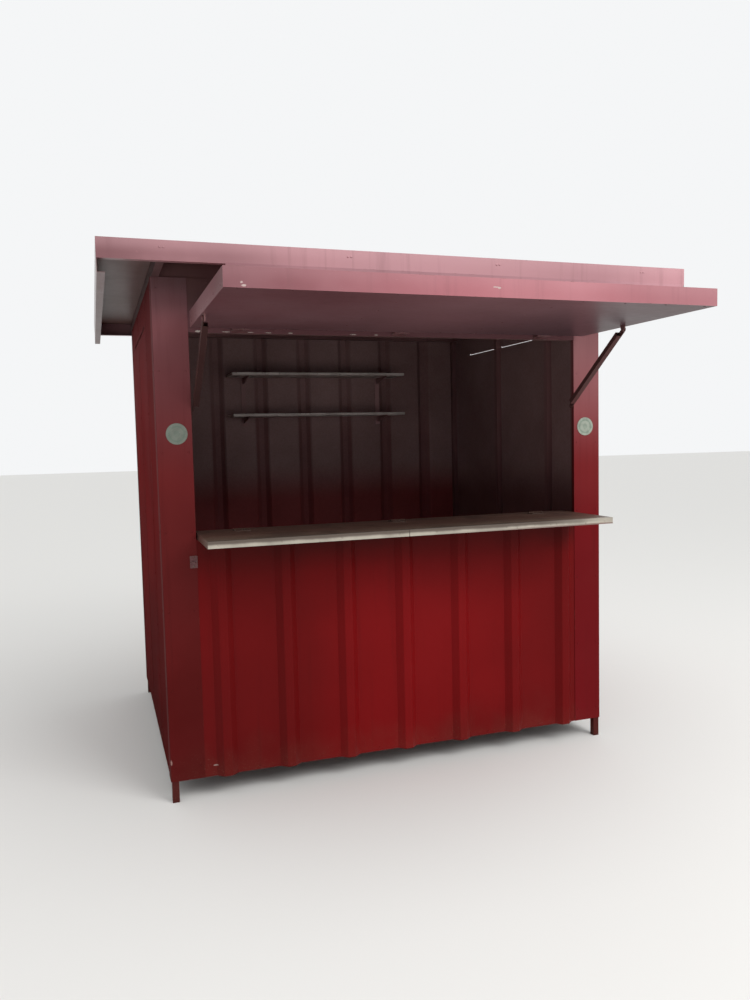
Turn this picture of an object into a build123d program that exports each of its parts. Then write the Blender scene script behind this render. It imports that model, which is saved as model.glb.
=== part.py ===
from build123d import *
from math import hypot
import os

# Street kiosk of folded steel sheet on a tube frame, with an awning flap and a folding counter leaf.
# X runs left to right, Y from the street to the back, Z up from the ground. All lengths in mm.
os.makedirs("parts", exist_ok=True)

# Cabin
cabin_width = 1830
cabin_depth = 1460
cladding_lift = 80
sheet = 2
tube = 25
tube_wall = 2
foot_cap = 3

# Ribs rolled outwards in the cladding of the front, the back and the flap
rib_pitch = 240
rib_base = 80
rib_crown = 30
rib_height = 22
bend_radius = 4
wall_ribs = 7
front_rib_shift = 13
back_rib_shift = -7
flap_ribs = 6

# Folded trims that frame the corners and the opening
trim_width = 124
trim_side = 70
trim_return = 15

# Heights above the ground, and drops below the roof's top
counter_height = 989
roof_height = 1954
hinge_drop = 232
slot_drop = 173
slot_height = 7
header_drop = 12

# Studs and air slots of the side walls, from the front backwards
side_stud_inset = 370
side_stud_pitch = 500
side_studs = 2
slot_inset = 450
slot_back_inset = 218

# Flat roof with a folded rim
front_overhang = 310
side_overhang = 180
back_overhang = 100
fascia_height = 64
side_fascia_height = 108
fascia_lip = 25
rafter_height = 50
rafter_spread = 560

# Awning flap
flap_reach = 811
flap_overlap = 9
flap_shift = 12
flap_height = 56
flap_lip = 25
hinge_out = 26
hinge_gap = 10
flap_bays = 3

# Hinges
hinge_spread = 620
hinge_length = 60
hinge_plate = 3
hinge_plate_height = 70
knuckle_radius = 6
pin_radius = 3
pin_clearance = 0.1
knuckle_gap = 0.5
leaf_knuckle_radius = 4
leaf_pin_radius = 2
leaf_plate = 2
leaf_plate_reach = 26

# Counter
counter_thickness = 24
counter_reach = 280
leaf_setback = 30
sill_board_back = 92
sill_rail_depth = 50
side_play = 5
seat_gap = 0.3
edge_strip = 1.5
edge_lip = 18

# Stays
stay_head_out = 354
stay_head_drop = 15
stay_foot_drop = 284
stay_foot_in = 9
stay_width = 20
stay_flange = 20
stay_flange_inset = 26
stay_thickness = 3
stay_play = 6
stay_pin_radius = 4
lug_length = 24
lug_radius = 8
lug_root = 7.5
lug_plate = 5
lug_pin_stand = 1.5
peg_clearance = 0.3

# Shelves on the back wall
shelf_left = -435
shelf_right = 512
shelf_depth = 200
shelf_thickness = 12
shelf_high_drop = 278
shelf_spacing = 214
upright_inset = 90
upright_width = 25
upright_plate = 4
arm_root = 34
upright_tail = 12

# Discs and lock staple on the front trims
disc_radius = 38
disc_thickness = 1.5
disc_inset = 70
disc_height = 1350
staple_inset = 12
staple_drop = 103
staple_width = 26
staple_length = 44
staple_plate = 2.5
eye_radius = 9
eye_wire = 2.5

# Places worked out from the sizes above; the origin is the middle of the whole, on the ground
front_y = (flap_reach - cabin_depth - back_overhang) / 2
back_y = front_y + cabin_depth
half_width = cabin_width / 2
inner_half = half_width - 2 * sheet
opening_half = half_width - trim_width
flap_width = 2 * (opening_half + flap_overlap)
counter_underside = counter_height - counter_thickness
hinge_height = roof_height - hinge_drop
slot_z = roof_height - slot_drop
header_bottom = hinge_height - header_drop
wall_top = roof_height - 2 * sheet - rafter_height
stud_x = opening_half + sheet + tube / 2
post_x = inner_half - tube / 2
front_post_y = front_y + 2 * sheet + tube / 2
back_post_y = back_y - 2 * sheet - tube / 2
rail_length = 2 * (inner_half - tube)
side_rail_length = back_post_y - front_post_y - tube


# Cross-section of a square tube at the present place of a sketch
def tube_section(width=tube, height=tube):
    Rectangle(width, height)
    Rectangle(width - 2 * tube_wall, height - 2 * tube_wall, mode=Mode.SUBTRACT)


# Square tubes that run along X, centred on x = 0, one at each (y, z)
def tubes_along_x(places, length, width=tube, height=tube):
    with BuildPart() as tubes:
        with BuildSketch(Plane.YZ.offset(-length / 2)):
            with Locations(*places):
                tube_section(width, height)
        extrude(amount=length)
    return tubes


# Square tubes that run along Y from y_start, one at each (x, z)
def tubes_along_y(places, y_start, length, width=tube, height=tube):
    with BuildPart() as tubes:
        with BuildSketch(Plane.XZ.offset(-y_start)):
            with Locations(*places):
                tube_section(width, height)
        extrude(amount=-length)
    return tubes


# Corners of a ribbed sheet's outer face: u along the sheet, v outwards, with v = 0 on its pans
def ribbed_corners(u_start, u_end, centres):
    corners = [(u_start, 0)]
    for centre in centres:
        corners += [(centre - rib_base / 2, 0), (centre - rib_crown / 2, rib_height),
                    (centre + rib_crown / 2, rib_height), (centre + rib_base / 2, 0)]
    return corners + [(u_end, 0)]


# Sheet folded along an outer line with rounded bends, its thickness laid to one side of the line
def folded_sheet(plane, corners, side, length):
    with BuildPart() as folded:
        with BuildSketch(plane):
            with BuildLine():
                FilletPolyline(*corners, radius=bend_radius)
                offset(amount=sheet, side=side)
            make_face()
        extrude(amount=length)
    return folded


def rib_centres(count, shift):
    return [shift + (k - (count - 1) / 2) * rib_pitch for k in range(count)]


def save(piece, name):
    piece.part.label = name
    export_step(piece.part, f"parts/{name}.step")


# Corner posts, whose feet stand on the ground below the cladding
for corner, x, y in (("front_left", -post_x, front_post_y), ("front_right", post_x, front_post_y),
                     ("back_left", -post_x, back_post_y), ("back_right", post_x, back_post_y)):
    with BuildPart() as post:
        with BuildSketch() as sole:
            with Locations((x, y)):
                Rectangle(tube, tube)
        extrude(amount=foot_cap)
        with BuildSketch(Plane.XY.offset(foot_cap)):
            with Locations((x, y)):
                tube_section()
        extrude(amount=wall_top - foot_cap)
    save(post, f"post_{corner}")

# Rails between the posts, at the foot and at the top of the walls
base_rail_z = cladding_lift + tube / 2
top_rail_z = wall_top - tube / 2
for level, z in (("base", base_rail_z), ("top", top_rail_z)):
    with BuildPart() as long_rails:
        add(tubes_along_x([(front_post_y, z), (back_post_y, z)], rail_length))
    save(long_rails, f"{level}_rails_long")
    with BuildPart() as short_rails:
        add(tubes_along_y([(-post_x, z), (post_x, z)], front_post_y + tube / 2, side_rail_length))
    save(short_rails, f"{level}_rails_short")

# Studs at the two sides of the serving opening
stud_bottom = cladding_lift + tube
with BuildPart() as studs:
    with BuildSketch(Plane.XY.offset(stud_bottom)):
        with Locations((-stud_x, front_post_y), (stud_x, front_post_y)):
            tube_section()
    extrude(amount=wall_top - tube - stud_bottom)
save(studs, "studs")

# Rails under and over the opening
stud_inner = stud_x - tube / 2
sill_rail_y = front_y + 2 * sheet + sill_rail_depth / 2
with BuildPart() as sill_rail:
    add(tubes_along_x([(sill_rail_y, counter_underside - seat_gap - tube / 2)], 2 * stud_inner, sill_rail_depth))
save(sill_rail, "sill_rail")

with BuildPart() as header_rail:
    add(tubes_along_x([(front_post_y, header_bottom + tube / 2)], 2 * stud_inner))
save(header_rail, "header_rail")

# Ribbed front and back walls
front_plane = Plane((0, front_y + sheet, counter_underside - seat_gap), x_dir=(1, 0, 0), z_dir=(0, 0, -1))
front_corners = ribbed_corners(-inner_half, inner_half, rib_centres(wall_ribs, front_rib_shift))
front_wall = folded_sheet(front_plane, front_corners, Side.RIGHT, counter_underside - seat_gap - cladding_lift)
save(front_wall, "front_wall")

back_plane = Plane((0, back_y - sheet, cladding_lift), x_dir=(1, 0, 0), z_dir=(0, 0, 1))
back_corners = ribbed_corners(-inner_half, inner_half, rib_centres(wall_ribs, back_rib_shift))
back_wall = folded_sheet(back_plane, back_corners, Side.RIGHT, wall_top - cladding_lift)
save(back_wall, "back_wall")

# Smooth side walls, each with an air slot near its top
middle_y = (front_y + back_y) / 2
slot_length = cabin_depth - slot_inset - slot_back_inset
for side, sign in (("left", -1), ("right", 1)):
    with BuildPart() as side_wall:
        with BuildSketch(Plane.YZ.offset(sign * inner_half)):
            with Locations((middle_y, (cladding_lift + wall_top) / 2)):
                Rectangle(cabin_depth - 4 * sheet, wall_top - cladding_lift)
            with Locations((front_y + slot_inset + slot_length / 2, slot_z)):
                SlotOverall(slot_length, slot_height, mode=Mode.SUBTRACT)
        extrude(amount=sign * sheet)
    save(side_wall, f"{side}_wall")

# Studs that hold the side walls
stud_places = [front_post_y + side_stud_inset + k * side_stud_pitch for k in range(side_studs)]
with BuildPart() as wall_studs:
    with BuildSketch(Plane.XY.offset(stud_bottom)):
        with Locations(*[(x, y) for x in (-post_x, post_x) for y in stud_places]):
            tube_section()
    extrude(amount=wall_top - tube - stud_bottom)
save(wall_studs, "wall_studs")

# Flat panel over the opening
with BuildPart() as header_panel:
    with BuildSketch(Plane.XZ.offset(-front_y - sheet)):
        with Locations((0, (header_bottom + wall_top) / 2)):
            Rectangle(2 * inner_half, wall_top - header_bottom)
    extrude(amount=-sheet)
save(header_panel, "header_panel")


# Folded corner trim with one leg along the wall's face and one round the side
def corner_trim(face_y, trim_end_y, side):
    corners = [(trim_width - half_width, face_y), (-half_width, face_y), (-half_width, trim_end_y)]
    return folded_sheet(Plane.XY.offset(cladding_lift), corners, side, wall_top - cladding_lift)


with BuildPart() as trim_front_left:
    add(corner_trim(front_y, front_y + trim_side, Side.RIGHT))
    with BuildSketch(Plane.XY.offset(counter_underside)):
        with Locations((-opening_half, front_y + sheet)):
            Rectangle(sheet, trim_return, align=(Align.MAX, Align.MIN))
    extrude(amount=header_bottom - counter_underside)
save(trim_front_left, "trim_front_left")

with BuildPart() as trim_front_right:
    mirror(trim_front_left.part, about=Plane.YZ)
save(trim_front_right, "trim_front_right")

with BuildPart() as trim_back_left:
    add(corner_trim(back_y, back_y - trim_side, Side.LEFT))
save(trim_back_left, "trim_back_left")

with BuildPart() as trim_back_right:
    mirror(trim_back_left.part, about=Plane.YZ)
save(trim_back_right, "trim_back_right")

# Roof sheet, whose edges lie under the top returns of the fascias
roof_front_y = front_y - front_overhang
roof_back_y = back_y + back_overhang
roof_half = half_width + side_overhang
roof_depth = roof_back_y - roof_front_y
fascia_top = roof_height - sheet / 2
with BuildPart() as roof_sheet:
    with BuildSketch(Plane.XY.offset(roof_height - 2 * sheet)):
        with Locations((0, (roof_front_y + roof_back_y) / 2)):
            Rectangle(2 * (roof_half - sheet), roof_depth - 2 * sheet)
    extrude(amount=sheet)
save(roof_sheet, "roof_sheet")

# Front and back fascias, with returns turned in over the roof and a lip below
for end, face_y, inwards in (("front", roof_front_y, 1), ("back", roof_back_y, -1)):
    with BuildPart() as fascia:
        with BuildSketch(Plane.YZ.offset(-roof_half)):
            with Locations((face_y + inwards * sheet / 2, roof_height - fascia_height / 2)):
                Rectangle(sheet, fascia_height)
        extrude(amount=2 * roof_half)
        with BuildSketch(Plane.YZ.offset(sheet - roof_half)):
            turned_in_y = face_y + inwards * (sheet + fascia_lip) / 2
            with Locations((turned_in_y, roof_height - fascia_height + sheet / 2), (turned_in_y, fascia_top)):
                Rectangle(fascia_lip - sheet, sheet)
        extrude(amount=2 * (roof_half - sheet))
    save(fascia, f"fascia_{end}")

# Side fascias, deeper than the front one, between the front and back ones
side_fascia_bottom = roof_height - side_fascia_height
for side, sign in (("left", -1), ("right", 1)):
    turned_in_x = sign * (roof_half - (sheet + fascia_lip) / 2)
    with BuildPart() as side_fascia:
        with BuildSketch(Plane.XZ.offset(-roof_front_y - sheet)):
            with Locations((sign * (roof_half - sheet / 2), roof_height - side_fascia_height / 2)):
                Rectangle(sheet, side_fascia_height)
            with Locations((turned_in_x, side_fascia_bottom + sheet / 2)):
                Rectangle(fascia_lip - sheet, sheet)
        extrude(amount=2 * sheet - roof_depth)
        with BuildSketch(Plane.XZ.offset(-roof_front_y - fascia_lip)):
            with Locations((turned_in_x, fascia_top)):
                Rectangle(fascia_lip - sheet, sheet)
        extrude(amount=2 * fascia_lip - roof_depth)
    save(side_fascia, f"fascia_{side}")

# Rafters from fascia to fascia, on the top rails
rafter_z = wall_top + rafter_height / 2
rafter_places = [(x, rafter_z) for x in (-post_x, -rafter_spread / 2, rafter_spread / 2, post_x)]
with BuildPart() as rafters:
    add(tubes_along_y(rafter_places, roof_front_y + sheet, roof_depth - 2 * sheet, tube, rafter_height))
save(rafters, "rafters")

# Fixed board behind the counter leaf, on the sill rail
leaf_hinge_y = front_y + leaf_setback
with BuildPart() as sill_board:
    with BuildSketch(Plane.XY.offset(counter_underside - seat_gap)):
        with Locations((0, leaf_hinge_y + knuckle_gap)):
            Rectangle(2 * (opening_half - side_play), sill_board_back - leaf_setback, align=(Align.CENTER, Align.MIN))
    extrude(amount=counter_thickness + seat_gap)
save(sill_board, "sill_board")

# Shelves on the back wall, on two uprights with arms
shelf_high_height = roof_height - shelf_high_drop
shelf_low_height = shelf_high_height - shelf_spacing
wall_inside_y = back_y - 2 * sheet
shelf_back_y = wall_inside_y - upright_plate
with BuildPart() as shelves:
    for top in (shelf_low_height, shelf_high_height):
        with BuildSketch(Plane.XY.offset(top - shelf_thickness)):
            with Locations(((shelf_left + shelf_right) / 2, shelf_back_y - shelf_depth / 2)):
                Rectangle(shelf_right - shelf_left, shelf_depth)
        extrude(amount=shelf_thickness)
save(shelves, "shelves")

arm_reach = shelf_depth - arm_root
upright_bottom = shelf_low_height - shelf_thickness - arm_root - upright_tail
upright_height = shelf_high_height + upright_tail - upright_bottom
upright_x = (shelf_left + upright_inset, shelf_right - upright_inset)
with BuildPart() as shelf_uprights:
    for x in upright_x:
        with BuildSketch(Plane.YZ.offset(x - upright_width / 2)):
            with Locations((wall_inside_y, upright_bottom)):
                Rectangle(upright_plate, upright_height, align=(Align.MAX, Align.MIN))
        extrude(amount=upright_width)
        with BuildSketch(Plane.YZ.offset(x - upright_plate / 2)):
            for top in (shelf_low_height - shelf_thickness, shelf_high_height - shelf_thickness):
                with BuildLine():
                    Polyline((shelf_back_y, top), (shelf_back_y, top - arm_root),
                             (shelf_back_y - arm_reach, top - upright_plate),
                             (shelf_back_y - arm_reach, top), close=True)
                make_face()
        extrude(amount=upright_plate)
save(shelf_uprights, "shelf_uprights")

# Plain discs on the front trims
disc_x = half_width - disc_inset
with BuildPart() as discs:
    with BuildSketch(Plane.XZ.offset(-front_y)):
        with Locations((-disc_x, disc_height), (disc_x, disc_height)):
            Circle(disc_radius)
    extrude(amount=disc_thickness)
save(discs, "discs")

# Staple beside the lower corner of the closed flap
staple_x = -opening_half - staple_inset
staple_height = counter_height - staple_drop
with BuildPart() as lock_staple:
    with BuildSketch(Plane.XZ.offset(-front_y)):
        with Locations((staple_x, staple_height)):
            Rectangle(staple_width, staple_length)
    extrude(amount=staple_plate)
    with BuildSketch(Plane.XY.offset(staple_height - eye_wire)):
        with Locations((staple_x, front_y - staple_plate)):
            Circle(eye_radius)
            Circle(eye_radius - 2 * eye_wire, mode=Mode.SUBTRACT)
    extrude(amount=2 * eye_wire)
    split(bisect_by=Plane.XZ.offset(-front_y), keep=Keep.TOP)
save(lock_staple, "lock_staple")

# Awning flap: a smooth lining below, tubes between, and a ribbed sheet above, with a folded edge
flap_left = flap_shift - flap_width / 2
flap_right = flap_shift + flap_width / 2
hinge_y = front_y - hinge_out
flap_back_y = hinge_y - hinge_gap
flap_front_y = front_y - flap_reach
flap_inner_y = flap_front_y + sheet
flap_depth = flap_back_y - flap_inner_y
flap_inner_width = flap_width - 2 * sheet
lining_top = hinge_height + sheet
with BuildPart() as flap_lining:
    with BuildSketch(Plane.XY.offset(hinge_height)):
        with Locations((flap_shift, flap_inner_y)):
            Rectangle(flap_inner_width, flap_depth, align=(Align.CENTER, Align.MIN))
    extrude(amount=sheet)
save(flap_lining, "flap_lining")

flap_bar_z = lining_top + tube / 2
with BuildPart() as flap_bars_long:
    with BuildSketch(Plane.YZ.offset(flap_left + sheet)):
        with Locations((flap_inner_y + tube / 2, flap_bar_z), (flap_back_y - tube / 2, flap_bar_z)):
            tube_section()
    extrude(amount=flap_inner_width)
save(flap_bars_long, "flap_bars_long")

bar_step = (flap_inner_width - tube) / flap_bays
bar_places = [(flap_left + sheet + tube / 2 + k * bar_step, flap_bar_z) for k in range(flap_bays + 1)]
with BuildPart() as flap_bars_short:
    add(tubes_along_y(bar_places, flap_inner_y + tube, flap_depth - 2 * tube))
save(flap_bars_short, "flap_bars_short")

flap_sheet_plane = Plane((0, flap_back_y, lining_top + tube + sheet), x_dir=(1, 0, 0), z_dir=(0, -1, 0))
flap_corners = ribbed_corners(flap_left + sheet, flap_right - sheet, rib_centres(flap_ribs, flap_shift))
flap_sheet = folded_sheet(flap_sheet_plane, flap_corners, Side.RIGHT, flap_depth)
save(flap_sheet, "flap_sheet")

flap_top = hinge_height + flap_height
with BuildPart() as flap_edge:
    with BuildSketch(Plane.YZ.offset(flap_left)):
        with Locations((flap_front_y, hinge_height)):
            Rectangle(sheet, flap_height, align=(Align.MIN, Align.MIN))
    extrude(amount=flap_width)
    with BuildSketch(Plane.YZ.offset(flap_left + sheet)):
        with Locations((flap_inner_y, flap_top)):
            Rectangle(flap_lip - sheet, sheet, align=(Align.MIN, Align.MAX))
    extrude(amount=flap_inner_width)
save(flap_edge, "flap_edge")

with BuildPart() as flap_ends:
    for edge_x, inwards in ((flap_left, 1), (flap_right, -1)):
        with BuildSketch(Plane.XZ.offset(-flap_inner_y)):
            with Locations((edge_x + inwards * sheet / 2, hinge_height + flap_height / 2)):
                Rectangle(sheet, flap_height)
        extrude(amount=-flap_depth)
        with BuildSketch(Plane.XZ.offset(-flap_front_y - flap_lip)):
            with Locations((edge_x + inwards * (sheet + flap_lip) / 2, flap_top - sheet / 2)):
                Rectangle(flap_lip - sheet, sheet)
        extrude(amount=flap_front_y + flap_lip - flap_back_y)
save(flap_ends, "flap_ends")

# Flap hinges: the middle knuckle belongs to the flap, the outer two and the pin to the header
hinge_x = [flap_shift + k * hinge_spread for k in (-1, 0, 1)]
knuckle_third = hinge_length / 3
pin_bore = pin_radius + pin_clearance
tongue_thickness = knuckle_radius
with BuildPart() as header_hinges:
    for x in hinge_x:
        with BuildSketch(Plane.XZ.offset(-front_y - sheet)):
            with Locations((x, header_bottom)):
                Rectangle(hinge_length, hinge_plate_height, align=(Align.CENTER, Align.MIN))
        extrude(amount=hinge_plate)
        for side in (-1, 1):
            with BuildSketch(Plane.YZ.offset(x + side * knuckle_third - knuckle_third / 2)):
                with Locations((hinge_y, hinge_height)):
                    Circle(knuckle_radius)
                with Locations((hinge_y, hinge_height)):
                    Rectangle(hinge_out + sheet, tongue_thickness, align=(Align.MIN, Align.CENTER))
            extrude(amount=knuckle_third)
        with BuildSketch(Plane.YZ.offset(x - hinge_length / 2)):
            with Locations((hinge_y, hinge_height)):
                Circle(pin_radius)
        extrude(amount=hinge_length)
save(header_hinges, "header_hinges")

with BuildPart() as flap_hinges:
    for x in hinge_x:
        with BuildSketch(Plane.XZ.offset(-flap_back_y)):
            with Locations((x, hinge_height)):
                Rectangle(hinge_length, flap_height - sheet, align=(Align.CENTER, Align.MIN))
        extrude(amount=-hinge_plate)
        with BuildSketch(Plane.YZ.offset(x - knuckle_third / 2 + knuckle_gap)):
            with Locations((hinge_y, hinge_height)):
                Circle(knuckle_radius)
                Rectangle(hinge_gap, tongue_thickness, align=(Align.MAX, Align.MIN))
            with Locations((hinge_y, hinge_height)):
                Circle(pin_bore, mode=Mode.SUBTRACT)
        extrude(amount=knuckle_third - 2 * knuckle_gap)
save(flap_hinges, "flap_hinges")

# Lugs under the flap with the pins that carry the stays
stay_x = opening_half - stay_play - stay_thickness / 2
head_y = front_y - stay_head_out
head_z = hinge_height - stay_head_drop
foot_y = front_y + stay_foot_in
foot_z = hinge_height - stay_foot_drop
lug_x = stay_x - stay_thickness / 2 - peg_clearance - lug_plate
with BuildPart() as lug_right:
    with BuildSketch(Plane.YZ.offset(lug_x)):
        with Locations((head_y, head_z)):
            Circle(lug_radius)
        with Locations((head_y, hinge_height)):
            Rectangle(lug_length, lug_root, align=(Align.CENTER, Align.MAX))
        make_hull()
    extrude(amount=lug_plate)
    with BuildSketch(Plane.YZ.offset(lug_x)):
        with Locations((head_y, head_z)):
            Circle(stay_pin_radius)
    extrude(amount=lug_plate + peg_clearance + stay_thickness + lug_pin_stand)
with BuildPart() as flap_lugs:
    add(lug_right)
    mirror(lug_right.part, about=Plane.YZ)
save(flap_lugs, "flap_lugs")

# Angle-iron stays from the flap's lugs to the pegs at the sides of the opening
stay_length = hypot(foot_y - head_y, foot_z - head_z)
stay_outer_x = stay_x + stay_thickness / 2
stay_plane = Plane((stay_outer_x, head_y, head_z), x_dir=(0, foot_y - head_y, foot_z - head_z), z_dir=(-1, 0, 0))
with BuildPart() as stay_right:
    with BuildSketch(stay_plane):
        with Locations((stay_length / 2, 0)):
            SlotCenterToCenter(stay_length, stay_width)
        with Locations((0, 0), (stay_length, 0)):
            Circle(stay_pin_radius + pin_clearance, mode=Mode.SUBTRACT)
    extrude(amount=stay_thickness)
    with BuildSketch(stay_plane):
        with Locations((stay_length / 2, (stay_width - stay_thickness) / 2)):
            Rectangle(stay_length - 2 * stay_flange_inset, stay_thickness)
    extrude(amount=stay_flange)
save(stay_right, "stay_right")

with BuildPart() as stay_left:
    mirror(stay_right.part, about=Plane.YZ)
save(stay_left, "stay_left")

peg_length = stay_play - peg_clearance
with BuildPart() as stay_pegs:
    with BuildSketch(Plane.YZ.offset(opening_half - peg_length)):
        with Locations((foot_y, foot_z)):
            Circle(stay_pin_radius)
    extrude(amount=peg_length)
    with BuildSketch(Plane.YZ.offset(-opening_half)):
        with Locations((foot_y, foot_z)):
            Circle(stay_pin_radius)
    extrude(amount=peg_length)
save(stay_pegs, "stay_pegs")

# Counter leaf that lies between the trims and folds up into the opening
leaf_front_y = front_y - counter_reach
leaf_half = opening_half - side_play
with BuildPart() as counter_leaf:
    with BuildSketch(Plane.YZ.offset(-leaf_half)):
        with BuildLine():
            Polyline((leaf_front_y + edge_strip, counter_underside), (leaf_hinge_y - knuckle_gap, counter_underside),
                     (leaf_hinge_y - knuckle_gap, counter_height),
                     (leaf_front_y + edge_lip, counter_height),
                     (leaf_front_y + edge_lip, counter_height - edge_strip),
                     (leaf_front_y + edge_strip, counter_height - edge_strip), close=True)
        make_face()
    extrude(amount=2 * leaf_half)
save(counter_leaf, "counter_leaf")

with BuildPart() as counter_edge:
    with BuildSketch(Plane.YZ.offset(-leaf_half)):
        with BuildLine():
            Polyline((leaf_front_y, counter_underside), (leaf_front_y, counter_height),
                     (leaf_front_y + edge_lip, counter_height),
                     (leaf_front_y + edge_lip, counter_height - edge_strip),
                     (leaf_front_y + edge_strip, counter_height - edge_strip),
                     (leaf_front_y + edge_strip, counter_underside), close=True)
        make_face()
    extrude(amount=2 * leaf_half)
save(counter_edge, "counter_edge")

# Leaf hinges on top of the two boards, with the pin above the joint between them
leaf_axis_z = counter_height + leaf_knuckle_radius
leaf_bore = leaf_pin_radius + pin_clearance
with BuildPart() as sill_hinges:
    for x in hinge_x:
        with BuildSketch(Plane.XY.offset(counter_height)):
            with Locations((x - flap_shift, leaf_hinge_y + leaf_knuckle_radius + knuckle_gap)):
                Rectangle(hinge_length, leaf_plate_reach, align=(Align.CENTER, Align.MIN))
        extrude(amount=leaf_plate)
        for side in (-1, 1):
            with BuildSketch(Plane.YZ.offset(x - flap_shift + side * knuckle_third - knuckle_third / 2)):
                with Locations((leaf_hinge_y, leaf_axis_z)):
                    Circle(leaf_knuckle_radius)
                with Locations((leaf_hinge_y, counter_height)):
                    Rectangle(2 * leaf_knuckle_radius, leaf_plate, align=(Align.MIN, Align.MIN))
            extrude(amount=knuckle_third)
        with BuildSketch(Plane.YZ.offset(x - flap_shift - hinge_length / 2)):
            with Locations((leaf_hinge_y, leaf_axis_z)):
                Circle(leaf_pin_radius)
        extrude(amount=hinge_length)
save(sill_hinges, "sill_hinges")

with BuildPart() as leaf_hinges:
    for x in hinge_x:
        with BuildSketch(Plane.XY.offset(counter_height)):
            with Locations((x - flap_shift, leaf_hinge_y - leaf_knuckle_radius)):
                Rectangle(hinge_length, leaf_plate_reach, align=(Align.CENTER, Align.MAX))
        extrude(amount=leaf_plate)
        with BuildSketch(Plane.YZ.offset(x - flap_shift - knuckle_third / 2 + knuckle_gap)):
            with Locations((leaf_hinge_y, leaf_axis_z)):
                Circle(leaf_knuckle_radius)
            with Locations((leaf_hinge_y, counter_height)):
                Rectangle(2 * leaf_knuckle_radius, leaf_plate, align=(Align.MAX, Align.MIN))
            with Locations((leaf_hinge_y, leaf_axis_z)):
                Circle(leaf_bore, mode=Mode.SUBTRACT)
        extrude(amount=knuckle_third - 2 * knuckle_gap)
save(leaf_hinges, "leaf_hinges")
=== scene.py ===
import math
import random

import bmesh
import bpy
from mathutils import Matrix, Vector


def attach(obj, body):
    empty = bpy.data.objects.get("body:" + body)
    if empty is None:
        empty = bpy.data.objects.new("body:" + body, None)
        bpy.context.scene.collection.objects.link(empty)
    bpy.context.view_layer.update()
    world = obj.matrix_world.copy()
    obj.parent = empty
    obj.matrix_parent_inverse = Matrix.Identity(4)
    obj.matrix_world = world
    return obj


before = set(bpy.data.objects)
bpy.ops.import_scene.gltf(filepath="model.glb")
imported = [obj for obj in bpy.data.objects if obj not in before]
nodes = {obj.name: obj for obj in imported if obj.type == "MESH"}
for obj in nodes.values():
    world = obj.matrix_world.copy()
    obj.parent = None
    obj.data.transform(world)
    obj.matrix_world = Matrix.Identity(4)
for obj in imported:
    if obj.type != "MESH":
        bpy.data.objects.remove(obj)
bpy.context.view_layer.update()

draw = random.Random(11)

# Places and sizes on the kiosk that several pieces share, in metres
sheet = 0.002
cabin_front = -0.3745
cabin_back = 1.0855
wall_half = 0.915
post_line = 0.8985
stud_line = 0.8055
base_rail_line = 0.0925
sill_rail_line = 0.9522
top_rail_line = 1.8875
header_line = 1.7225
wall_stud_lines = (0.012, 0.512)
side_wall_top = 1.900
rib_pitch = 0.240
front_rib_shift = 0.013
back_rib_shift = -0.007
roof_front = -0.6845
roof_back = 1.1855
roof_top = 1.952
rafter_lines = (-0.8985, -0.280, 0.280, 0.8985)
counter_top = 0.989
leaf_front = -0.6545
edging_joint = -0.070
disc_line = 0.845
disc_height = 1.350
leaf_axis = -0.3445
hinge_places = (-0.608, 0.012, 0.632)
hinge_line = 1.722
flap_front = -1.1855
flap_back = -0.4105
flap_middle = 0.012
flap_half = 0.800
flap_pan = 1.751
flap_rim_top = 1.778
flap_mid_height = 1.7365
stay_outer = 0.785
stay_head = (-0.7285, 1.707)
stay_foot = (-0.3655, 1.438)
tube_half = 0.0125
thin_sheet = 0.0008
strip_rounding = 0.0003


def rgb(red, green, blue):
    """A colour written as it looks on a screen, 0 to 255, as the linear colour that a shader takes."""
    def linear(level):
        level = level / 255
        return level / 12.92 if level <= 0.04045 else ((level + 0.055) / 1.055) ** 2.4
    return (linear(red), linear(green), linear(blue), 1.0)


class Channel:
    """One output in a node tree, which can be used in sums like a number."""

    def __init__(self, wiring, socket):
        self.wiring = wiring
        self.socket = socket

    def maths(self, operation, first, second=0.0):
        return self.wiring.node("ShaderNodeMath", {"operation": operation}, {0: first, 1: second})

    def __add__(self, other):
        return self.maths("ADD", self, other)

    def __sub__(self, other):
        return self.maths("SUBTRACT", self, other)

    def __mul__(self, other):
        return self.maths("MULTIPLY", self, other)

    def __truediv__(self, other):
        return self.maths("DIVIDE", self, other)

    def __radd__(self, other):
        return self.maths("ADD", other, self)

    def __rsub__(self, other):
        return self.maths("SUBTRACT", other, self)

    def __rmul__(self, other):
        return self.maths("MULTIPLY", other, self)

    def size(self):
        return self.maths("ABSOLUTE", self)

    def root(self):
        return self.maths("SQRT", self)

    def over(self, other):
        """The larger of the two."""
        return self.maths("MAXIMUM", self, other)

    def step(self, low, high):
        """Goes smoothly from 0 at low to 1 at high; with low above high it falls."""
        settings = {"interpolation_type": "SMOOTHSTEP", "clamp": True}
        sockets = {"Value": self, "From Min": low, "From Max": high}
        if low > high:
            sockets.update({"From Min": high, "From Max": low, "To Min": 1.0, "To Max": 0.0})
        return self.wiring.node("ShaderNodeMapRange", settings, sockets)


class Wiring:
    """A node tree, and the one method that its nodes are made with."""

    def __init__(self, tree):
        self.tree = tree

    def node(self, kind, settings, sockets, output=0):
        made = self.tree.nodes.new(kind)
        for name, value in settings.items():
            setattr(made, name, value)
        for name, value in sockets.items():
            self.feed(made.inputs[name], value)
        return Channel(self, made.outputs[output])

    def feed(self, socket, value):
        if isinstance(value, Channel):
            self.tree.links.new(value.socket, socket)
        else:
            socket.default_value = value


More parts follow.
